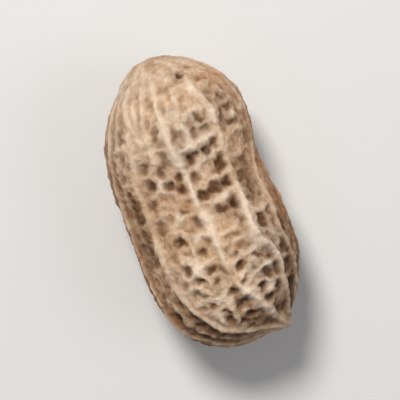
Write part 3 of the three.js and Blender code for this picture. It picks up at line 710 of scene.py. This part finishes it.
ridge = np.maximum.reduce([rib, cross * fade, vein]) + 0.35 * np.minimum(rib, cross * fade)
relief = np.maximum(ridge, knob) + 0.3 * np.minimum(ridge, knob) - pit - groove * (0.3 + 0.7 * clear)
up = ease(0.1, 0.6, (co[:, 2]) / 1.2)  # a mask of the upper side; nothing reads it
height = lumps * 0.8 + relief + net + beads + 0.030 * (strand - 0.3) + (fibre + grain + rough) * (0.6 + 0.4 * ease(0.0, 0.4, relief + 0.2))
height += scar_shape - 0.38 * dot_hole
co = co + out_n * height[:, None] + BEAK_OUT * beak[:, None]

# -------------------------------------------------------------- onto the CAD
low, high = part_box("peanut_pod")
mid = (low + high) / 2 * 1000
co[:, 0] += mid.x - (co[:, 0].min() + co[:, 0].max()) / 2
co[:, 1] += mid.y - (co[:, 1].min() + co[:, 1].max()) / 2
# The lowest points sink into the rest plane and are pressed flat, as a pod's own weight wears them.
co[:, 2] -= np.percentile(co[:, 2], 0.9)
flat_z = np.maximum(co[:, 2], 0)
co[:, 2] = flat_z + low.z * 1000

mesh = bpy.data.meshes.new("peanut_shell")
mesh.from_pydata((co / 1000).tolist(), [], quads.tolist())
mesh.polygons.foreach_set("use_smooth", np.ones(len(quads), bool))
uv = mesh.uv_layers.new(name="OFBake")
uv.uv.foreach_set("vector", flat.reshape(-1, 2).astype(np.float32).ravel())


def layer(name, values):
    made = mesh.attributes.new(name, "FLOAT", "POINT")
    made.data.foreach_set("value", np.asarray(values, np.float32))


# What the material reads: relief (0 pit floor, 0.5 plain, 1 rib crest), dark
# (stain in the pits, and painted shade at the beak tip), dirt (soil left on the beak end and low on the flanks, mixed
# with painted shade there and round the stem lobe's rim).
level = 0.50 + 0.50 * np.tanh((relief + 0.9 * net + 1.5 * beads + 0.05 * (strand - 0.3) + 0.05) / 0.23)
spread = cloud(co / 4.0 + 3.0, 301, 3)
# soil on the beak end, its right side and low on the flanks, with painted shade in the same mask where these turn from
# the light
from_beak = np.linalg.norm((co - np.array([10.5, 6.6, 9.0])) * np.array([0.8, 1.0, 0.8]), axis=1)
dirt_and_shade = ease(9.0, 2.0, from_beak + 1.6 * spread)
dirt_and_shade = np.maximum(dirt_and_shade, 0.68 * ease(11.0, 16.0, co[:, 0] + 0.9 * spread))
dirt_and_shade = np.maximum(dirt_and_shade, ease(3.4, 6.2, co[:, 1] + 0.5 * spread) * ease(7.6, 11.2, co[:, 0] + 0.8 * spread))
dirt_and_shade = np.maximum(dirt_and_shade, 0.24 * ease(5.6, 7.6, co[:, 1] + 0.5 * spread) * ease(-2.0, 4.0, co[:, 0]))
dirt_and_shade = np.maximum(dirt_and_shade, 0.22 * ease(-6.8, -9.0, co[:, 1] + 0.5 * spread) * ease(-6.0, 1.0, co[:, 0]))
dirt_and_shade = np.maximum(dirt_and_shade, 0.55 * ease(0.35, 0.95, spread) * ease(9.0, 4.0, co[:, 2]))
# the dark layer: pit stain, the insect dot, the stem scar, and painted shade at the beak tip
dark_all = np.maximum.reduce([dark, 0.95 * dot_hole, 0.8 * scar_dark, 0.35 * np.exp(-(to_tip / 0.7) ** 2)])
dirt_and_shade = np.maximum(dirt_and_shade, 0.48 * ease(7.6, 1.5, to_scar + 0.8 * spread))
# painted shade low round the stem lobe's left side and end, a darker rim where it turns from the light
rim_shade = ease(0.66, 0.36, sphere[:, 2]) * ease(0.68, 0.56, t) * np.maximum(ease(2.0, -1.0, co[:, 1]), ease(0.16, 0.08, t))
dirt_and_shade = np.maximum(dirt_and_shade, 0.48 * rim_shade)
layer("relief", level)
layer("dark", dark_all)
layer("dirt_and_shade", dirt_and_shade)
# warmer brown on the flanks as they turn down from the top: partly the shell's own tone, partly painted shade
tan = ease(0.80, 0.25, sphere[:, 2]) * ease(0.15, 0.32, t) * (0.75 + 0.5 * cloud(co / 3.1 + 13.0, 321, 2))
tan *= 1 - 0.55 * ease(-1.0, -4.0, co[:, 1]) * ease(0.42, 0.30, t) * (0.4 + 0.6 * ease(0.15, 0.45, sphere[:, 2]))  # paler over the stem lobe's left
# a band of painted shade over the waist, whose slope turns from the light, with a browner tone of its own
belt = np.exp(-np.abs((seen_co[:, 0] - 16.6) / 4.0) ** 2.4) * (0.85 + 0.3 * cloud(co / 2.6 + 23.0, 331, 2))
layer("tan", np.clip(np.maximum(tan, 0.50 * belt * (0.62 + 0.38 * ease(1.5, -1.5, seen_co[:, 1]))), 0, 1))
pale = 0.24 * ease(0.5, -2.5, co[:, 1]) * ease(0.46, 0.32, t) * ease(0.10, 0.20, t)  # the shell bleached by handling
# painted light low on the beak lobe's left, lifting the shade its own relief casts there
pale = np.maximum(pale, 0.26 * ease(-4.0, -6.0, co[:, 1]) * ease(0.68, 0.78, t))
# pale crests of ribs, veins and knobs: worn paleness with a painted highlight, plus the paler patches above
layer("crest_wear_and_highlight", np.clip(np.clip((np.maximum(rib, 1.05 * cross) + 1.1 * knob) / 0.34, 0, 1) ** 1.35 + pale * (1 + 0.5 * cloud(co / 2.4 + 29.0, 341, 2)), 0, 1))
mesh.update()
mesh.validate()
shell = bpy.data.objects.new("peanut_shell", mesh)
bpy.context.scene.collection.objects.link(shell)


# ------------------------------------------------------------------ material
def linear(r, g, b):
    return tuple(((c / 255 + 0.055) / 1.055) ** 2.4 if c > 10 else c / 255 / 12.92 for c in (r, g, b)) + (1.0,)


mat = bpy.data.materials.new("peanut_shell_skin")
mat.use_nodes = True
nodes, links = mat.node_tree.nodes, mat.node_tree.links
nodes.clear()
output = nodes.new("ShaderNodeOutputMaterial")
shader = nodes.new("ShaderNodeBsdfPrincipled")
links.new(shader.outputs["BSDF"], output.inputs["Surface"])
shader.inputs["Specular IOR Level"].default_value = 0.28
shader.inputs["IOR"].default_value = 1.45


def attribute(name):
    n = nodes.new("ShaderNodeAttribute")
    n.attribute_type = "GEOMETRY"
    n.attribute_name = name
    return n.outputs["Fac"]


coords = nodes.new("ShaderNodeTexCoord").outputs["Object"]


def stretched(sx, sy, sz):
    m = nodes.new("ShaderNodeMapping")
    m.inputs["Scale"].default_value = (sx, sy, sz)
    links.new(coords, m.inputs["Vector"])
    return m.outputs["Vector"]


def noise_node(scale, detail=2.0, rough=0.5, vector=None, distortion=0.0):
    n = nodes.new("ShaderNodeTexNoise")
    n.inputs["Scale"].default_value = scale
    n.inputs["Detail"].default_value = detail
    n.inputs["Roughness"].default_value = rough
    n.inputs["Distortion"].default_value = distortion
    links.new(vector if vector is not None else coords, n.inputs["Vector"])
    return n.outputs["Fac"]


def ramp(fac, *stops):
    n = nodes.new("ShaderNodeValToRGB")
    el = n.color_ramp.elements
    while len(el) < len(stops):
        el.new(0.5)
    for e, (pos, colour) in zip(el, stops):
        e.position, e.color = pos, colour
    links.new(fac, n.inputs["Fac"])
    return n.outputs["Color"]


def math_node(op, x, y=None, clamp=False):
    n = nodes.new("ShaderNodeMath")
    n.operation, n.use_clamp = op, clamp
    for socket, value in zip(n.inputs, (x, y)):
        if value is None:
            continue
        if isinstance(value, (int, float)):
            socket.default_value = value
        else:
            links.new(value, socket)
    return n.outputs[0]


def mix(fac, x, y, blend="MIX"):
    n = nodes.new("ShaderNodeMix")
    n.data_type, n.blend_type = "RGBA", blend
    for socket, value in ((n.inputs[0], fac), (n.inputs[6], x), (n.inputs[7], y)):
        if isinstance(value, (int, float)):
            socket.default_value = value
        elif isinstance(value, tuple):
            socket.default_value = value
        else:
            links.new(value, socket)
    return n.outputs[2]


def spread_map(fac, a, b, c=0.0, d=1.0):
    n = nodes.new("ShaderNodeMapRange")
    n.clamp = True
    for k, v in enumerate((a, b, c, d)):
        n.inputs[k + 1].default_value = v
    links.new(fac, n.inputs[0])
    return n.outputs[0]


relief_in, dark_in, dirt_and_shade_in, crest_wear_and_highlight_in, tan_and_shade_in = (attribute(n) for n in ("relief", "dark", "dirt_and_shade", "crest_wear_and_highlight", "tan"))

# Skin: brown in the pits, straw on the plain shell, pale on the worn crests.
skin = ramp(relief_in,
            (0.00, linear(146, 114, 86)),
            (0.25, linear(182, 151, 122)),
            (0.45, linear(206, 177, 150)),
            (0.65, linear(217, 190, 164)),
            (1.00, linear(234, 210, 185)))
# broad warm and grey patches
skin = mix(spread_map(noise_node(170, 2.0), 0.35, 0.65), skin, mix(1.0, skin, linear(248, 238, 222), "MULTIPLY"))
skin = mix(spread_map(noise_node(420, 3.0, 0.6), 0.52, 0.72, 0.0, 0.50), skin, mix(1.0, skin, linear(220, 197, 172), "MULTIPLY"))
# fibres along the pod
fibres = noise_node(1.0, 3.0, 0.6, stretched(700, 3600, 3600), 0.3)
skin = mix(spread_map(fibres, 0.40, 0.66, 0.0, 0.30), skin, mix(1.0, skin, linear(206, 182, 156), "MULTIPLY"))
# mottling about as coarse as the beads
mottle = noise_node(1050, 3.0, 0.62)
skin = mix(spread_map(mottle, 0.36, 0.50, 0.55, 0.0), skin, mix(1.0, skin, linear(218, 197, 172), "MULTIPLY"))
skin = mix(spread_map(mottle, 0.52, 0.68, 0.0, 0.40), skin, linear(238, 214, 188))
# the crests of ribs and veins are rubbed pale, with a painted highlight along them
skin = mix(math_node("MULTIPLY", crest_wear_and_highlight_in, 0.68), skin, linear(247, 226, 203))
# the sides are a warmer brown between the ribs, partly painted shade on the flanks and over the waist
skin = mix(math_node("MULTIPLY", tan_and_shade_in, spread_map(crest_wear_and_highlight_in, 0.1, 0.9, 0.80, 0.22)), skin, mix(1.0, skin, linear(200, 158, 116), "MULTIPLY"))
# fine speckle
speck = noise_node(5200, 2.0, 0.6)
skin = mix(spread_map(speck, 0.58, 0.72, 0.0, 0.35), skin, linear(150, 116, 84))
# stain in the pits, the dot and scar, and painted shade at the beak tip
patchy = spread_map(noise_node(1500, 3.0, 0.6), 0.30, 0.62, 0.78, 1.12)
stain = mix(spread_map(noise_node(210, 2.0), 0.40, 0.60), linear(74, 42, 20), linear(90, 56, 27))
skin = mix(math_node("MULTIPLY", dark_in, patchy, True), skin, stain)
# soil, with painted shade on the beak end, low on the flanks and round the stem lobe's rim
soil_and_shade = math_node("MULTIPLY", dirt_and_shade_in, spread_map(noise_node(900, 4.0, 0.65), 0.34, 0.62, 0.36, 0.98), True)
soil_and_shade = math_node("MULTIPLY", soil_and_shade, spread_map(relief_in, 0.25, 0.95, 1.0, 0.35))
skin = mix(soil_and_shade, skin, linear(92, 69, 52))
links.new(skin, shader.inputs["Base Color"])

roughness = spread_map(noise_node(1400, 2.0), 0.3, 0.7, 0.72, 0.92)
links.new(roughness, shader.inputs["Roughness"])

bump_a = nodes.new("ShaderNodeBump")
bump_a.inputs["Strength"].default_value = 0.55
bump_a.inputs["Distance"].default_value = 0.00006
links.new(fibres, bump_a.inputs["Height"])
bump_b = nodes.new("ShaderNodeBump")
bump_b.inputs["Strength"].default_value = 0.50
bump_b.inputs["Distance"].default_value = 0.00005
links.new(noise_node(3800, 4.0, 0.65), bump_b.inputs["Height"])
links.new(bump_a.outputs["Normal"], bump_b.inputs["Normal"])
links.new(bump_b.outputs["Normal"], shader.inputs["Normal"])
mesh.materials.append(mat)

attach(shell, "root")
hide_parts("peanut_pod")

# --------------------------------------------------------------------- stage
centre = (low + high) / 2
floor_mesh = bpy.data.meshes.new("floor")
half = 1.6
floor_mesh.from_pydata([(-half, -half, 0), (half, -half, 0), (half, half, 0), (-half, half, 0)], [], [(0, 1, 2, 3)])
floor = bpy.data.objects.new("floor", floor_mesh)
bpy.context.scene.collection.objects.link(floor)
floor.location = (0, 0, low.z - 0.00002)
floor_mat = bpy.data.materials.new("floor_paper")
floor_mat.use_nodes = True
floor_shader = floor_mat.node_tree.nodes["Principled BSDF"]
floor_shader.inputs["Base Color"].default_value = (0.80, 0.79, 0.77, 1)
floor_shader.inputs["Roughness"].default_value = 0.9
floor_shader.inputs["Specular IOR Level"].default_value = 0.1
floor_mesh.materials.append(floor_mat)

world = bpy.data.worlds.new("studio")
bpy.context.scene.world = world
world.use_nodes = True
world.node_tree.nodes["Background"].inputs["Color"].default_value = (0.93, 0.95, 1.0, 1)
world.node_tree.nodes["Background"].inputs["Strength"].default_value = 0.23


def lamp(name, at, size, power, colour=(1, 1, 1)):
    data = bpy.data.lights.new(name, "AREA")
    data.shape, data.size, data.energy, data.color = "DISK", size, power, colour
    made = bpy.data.objects.new(name, data)
    bpy.context.scene.collection.objects.link(made)
    made.location = centre + Vector(at)
    made.rotation_mode = "QUATERNION"
    made.rotation_quaternion = (-Vector(at)).to_track_quat("-Z", "Y")
    return made


# In the picture the pod's stem end is up, so the key light stands over it and to the left.
lamp("key", (-0.220, -0.043, 0.330), 0.13, 1.34, (1.0, 0.985, 0.96))
lamp("fill", (0.10, 0.26, 0.24), 0.26, 0.22, (0.95, 0.97, 1.0))

# -------------------------------------------------------------------- camera
cam_data = bpy.data.cameras.new("camera")
cam_data.sensor_width, cam_data.lens = 36.0, 135.0
camera = bpy.data.objects.new("camera", cam_data)
bpy.context.scene.collection.objects.link(camera)
bpy.context.scene.camera = camera
# Straight down, with the stem end up and leaning left, as the pod lies.
lean = math.atan2(0.26666, 0.96379)
span = (high.x - low.x) * 1.30
distance = span / 2 / math.tan(math.atan(18.0 / 135.0))
camera.location = (centre.x, centre.y, high.z * 0.6 + distance)
# The picture's up is the direction from the beak end to the stem end, turned by the lean.
up_dir = Vector((-math.cos(lean), math.sin(lean), 0.0))
right_dir = Vector((math.sin(lean), math.cos(lean), 0.0))
back = Vector((0, 0, 1))
camera.rotation_mode = "QUATERNION"
rot = Matrix((right_dir, up_dir, back)).transposed()
camera.rotation_quaternion = rot.to_quaternion()
cam_data.clip_start, cam_data.clip_end = 0.001, 10.0
cam_data.dof.use_dof = False

bpy.context.scene.view_settings.view_transform = "Standard"
